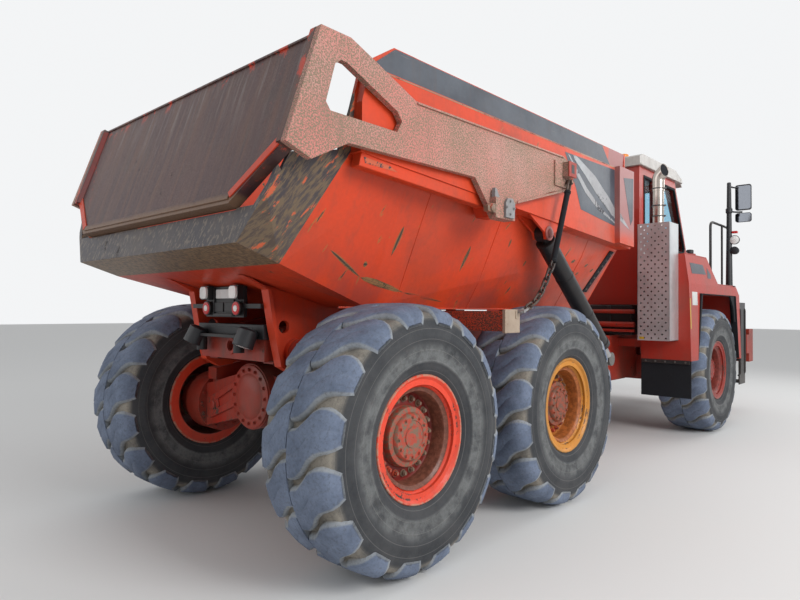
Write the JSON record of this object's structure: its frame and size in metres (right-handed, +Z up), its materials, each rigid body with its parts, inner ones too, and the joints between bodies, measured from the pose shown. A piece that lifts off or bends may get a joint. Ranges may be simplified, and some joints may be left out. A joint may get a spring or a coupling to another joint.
{
  "type": "articulated dump truck",
  "caption": "Six-wheel articulated dump truck with a hinged front chassis and cab, a walking-beam bogie, a tipping bed and a tailgate on side arms.",
  "frame": {"origin": "on the ground, under the middle of the truck's length and width", "axes": "+X towards the front of the truck, +Y to its left, +Z up"},
  "size_m": [9.6348, 3.2, 3.64],
  "materials": {
    "chassis_paint": "worn red-orange paint with rust and dust",
    "bed_paint": "bright orange-red paint, scratched and chipped",
    "bed_panel_paint": "orange-red paint with a dark blue-grey band",
    "chute_steel": "blue-grey worn steel with remnants of paint",
    "gate_steel": "dark brown-purple worn steel",
    "arm_paint": "mottled pink and grey chipped paint",
    "chain_steel": "rusty dark steel",
    "cylinder_paint": "dusty painted steel",
    "rod_chrome": "polished rod",
    "black_box": "black satin",
    "engine_iron": "plain dark iron",
    "cab_paint": "sun-faded red paint",
    "roof_white": "white satin",
    "cab_glass": "blue-tinted clear",
    "seat_fabric": "dark woven",
    "dash_plastic": "matte",
    "flap_rubber": "dusty black",
    "step_steel": "worn black",
    "guard_zinc": "galvanised, satin",
    "pipe_chrome": "polished with heat haze",
    "lamp_glass": "clear lens",
    "tail_lamp_black": "matte black",
    "mirror_black": "matte black",
    "grille_black": "matte black",
    "tyre_rubber": "dusty grey-black",
    "rim_red": "chipped red-orange",
    "rim_yellow": "yellow-orange with red patches",
    "rim_dark": "dark red"
  },
  "bodies": {
    "rear_frame": {"rear_frame": "chassis_paint", "outriggers": "chassis_paint", "tail_box": "black_box", "bogie_beams": "chassis_paint", "bogie_axles": "chassis_paint", "propshafts": "cylinder_paint"},
    "hitch": {"hitch": "chassis_paint"},
    "bed": {"bed_floor": "bed_paint", "bed_sides": "bed_panel_paint", "bed_front": "bed_paint", "bed_chute": "chute_steel", "bed_brackets": "bed_paint", "tail_lamps": "tail_lamp_black"},
    "tailgate": {"tailgate": "gate_steel", "tailgate_arms": "arm_paint"},
    "gate_chains": {"gate_chains": "chain_steel"},
    "hoist_barrels": {"hoist_barrels": "cylinder_paint"},
    "hoist_sleeves": {"hoist_sleeves": "rod_chrome"},
    "hoist_rods": {"hoist_rods": "rod_chrome"},
    "front_frame": {"front_frame": "chassis_paint", "front_axle": "chassis_paint", "powertrain": "engine_iron", "fenders": "cab_paint", "mudflaps": "flap_rubber", "steps": "step_steel", "bumper": "chassis_paint", "exhaust_guard": "guard_zinc", "exhaust_pipe": "pipe_chrome", "cab_shell": "cab_paint", "cab_roof": "roof_white", "cab_glass": "cab_glass", "seat": "seat_fabric", "dashboard": "dash_plastic", "lamps": "lamp_glass", "mirrors": "mirror_black"},
    "cab_door": {"cab_door": "cab_paint", "door_glass": "cab_glass"},
    "hood": {"hood": "cab_paint", "grille": "grille_black"},
    "steer_barrel_left": {"steer_barrel_left": "cylinder_paint"},
    "steer_rod_left": {"steer_rod_left": "rod_chrome"},
    "steer_barrel_right": {"steer_barrel_right": "cylinder_paint"},
    "steer_rod_right": {"steer_rod_right": "rod_chrome"},
    "wheel_rear_left": {"tyre_rear_left": "tyre_rubber", "rim_rear_left": "rim_red"},
    "wheel_rear_right": {"tyre_rear_right": "tyre_rubber", "rim_rear_right": "rim_red"},
    "wheel_middle_left": {"tyre_middle_left": "tyre_rubber", "rim_middle_left": "rim_yellow"},
    "wheel_middle_right": {"tyre_middle_right": "tyre_rubber", "rim_middle_right": "rim_yellow"},
    "wheel_front_left": {"tyre_front_left": "tyre_rubber", "rim_front_left": "rim_dark"},
    "wheel_front_right": {"tyre_front_right": "tyre_rubber", "rim_front_right": "rim_dark"}
  },
  "joints": [
    {"name": "oscillation", "type": "hinge", "parent": "rear_frame", "child": "hitch", "pos_m": [-0.18264, 0, 0.98], "axis": [1, 0, 0], "range_deg": [-15, 15]},
    {"name": "articulation", "type": "hinge", "parent": "hitch", "child": "front_frame", "pos_m": [0.51736, 0, 0.98], "axis": [0, 0, 1], "range_deg": [-45, 45]},
    {"name": "bed_tip", "type": "hinge", "parent": "rear_frame", "child": "bed", "pos_m": [-3.98264, 0, 1.27], "axis": [0, -1, 0], "range_deg": [0, 65]},
    {"name": "tailgate_lift", "type": "hinge", "parent": "bed", "child": "tailgate", "pos_m": [-2.90264, 0, 2.27], "axis": [0, 1, 0], "range_deg": [0, 86.3]},
    {"name": "chain_swing", "type": "hinge", "parent": "tailgate", "child": "gate_chains", "pos_m": [-1.98264, 0, 2.6], "axis": [0, -1, 0], "range_deg": [0, 89.8]},
    {"name": "hoist_swing", "type": "hinge", "parent": "bed", "child": "hoist_barrels", "pos_m": [-2.12264, 0, 2.18], "axis": [0, 1, 0], "range_deg": [0, 60.2]},
    {"name": "hoist_stage_1", "type": "slide", "parent": "hoist_barrels", "child": "hoist_sleeves", "axis": [0.7668, 0, -0.6419], "range_m": [0, 1.108]},
    {"name": "hoist_stage_2", "type": "slide", "parent": "hoist_sleeves", "child": "hoist_rods", "axis": [0.7668, 0, -0.6419], "range_m": [0, 1.108]},
    {"name": "cab_door_swing", "type": "hinge", "parent": "front_frame", "child": "cab_door", "pos_m": [1.71736, 0.824, 2.6], "axis": [0, 0, 1], "range_deg": [0, 75]},
    {"name": "hood_tilt", "type": "hinge", "parent": "front_frame", "child": "hood", "pos_m": [4.66736, 0, 1.5], "axis": [0, 1, 0], "range_deg": [0, 60]},
    {"name": "steer_swing_left", "type": "hinge", "parent": "front_frame", "child": "steer_barrel_left", "pos_m": [1.56736, 0.3, 0.98], "axis": [0, 0, 1], "range_deg": [-1.5, 1.5]},
    {"name": "steer_slide_left", "type": "slide", "parent": "steer_barrel_left", "child": "steer_rod_left", "axis": [-0.9993, -0.0381, 0], "range_m": [-0.185, 0.185]},
    {"name": "steer_swing_right", "type": "hinge", "parent": "front_frame", "child": "steer_barrel_right", "pos_m": [1.56736, -0.3, 0.98], "axis": [0, 0, 1], "range_deg": [-1.5, 1.5]},
    {"name": "steer_slide_right", "type": "slide", "parent": "steer_barrel_right", "child": "steer_rod_right", "axis": [-0.9993, 0.0381, 0], "range_m": [-0.185, 0.185]},
    {"name": "wheel_rear_left", "type": "hinge", "parent": "rear_frame", "child": "wheel_rear_left", "pos_m": [-3.78264, 1.17, 0.8], "axis": [0, 1, 0], "continuous": true},
    {"name": "wheel_rear_right", "type": "hinge", "parent": "rear_frame", "child": "wheel_rear_right", "pos_m": [-3.78264, -1.17, 0.8], "axis": [0, 1, 0], "continuous": true},
    {"name": "wheel_middle_left", "type": "hinge", "parent": "rear_frame", "child": "wheel_middle_left", "pos_m": [-1.96264, 1.17, 0.8], "axis": [0, 1, 0], "continuous": true},
    {"name": "wheel_middle_right", "type": "hinge", "parent": "rear_frame", "child": "wheel_middle_right", "pos_m": [-1.96264, -1.17, 0.8], "axis": [0, 1, 0], "continuous": true},
    {"name": "wheel_front_left", "type": "hinge", "parent": "front_frame", "child": "wheel_front_left", "pos_m": [2.19736, 1.17, 0.8], "axis": [0, 1, 0], "continuous": true},
    {"name": "wheel_front_right", "type": "hinge", "parent": "front_frame", "child": "wheel_front_right", "pos_m": [2.19736, -1.17, 0.8], "axis": [0, 1, 0], "continuous": true}
  ],
  "couplings": [
    {"joint": "tailgate_lift", "follows": "bed_tip", "ratio": 1.3268},
    {"joint": "chain_swing", "follows": "bed_tip", "ratio": 1.3797},
    {"joint": "hoist_swing", "follows": "bed_tip", "ratio": 0.9255},
    {"joint": "hoist_stage_1", "follows": "bed_tip", "m_per_rad": 0.97605},
    {"joint": "hoist_stage_2", "follows": "bed_tip", "m_per_rad": 0.97605},
    {"joint": "steer_swing_left", "follows": "articulation", "ratio": 0.025},
    {"joint": "steer_swing_right", "follows": "articulation", "ratio": 0.025},
    {"joint": "steer_slide_left", "follows": "articulation", "m_per_rad": -0.2326},
    {"joint": "steer_slide_right", "follows": "articulation", "m_per_rad": 0.2326}
  ]
}
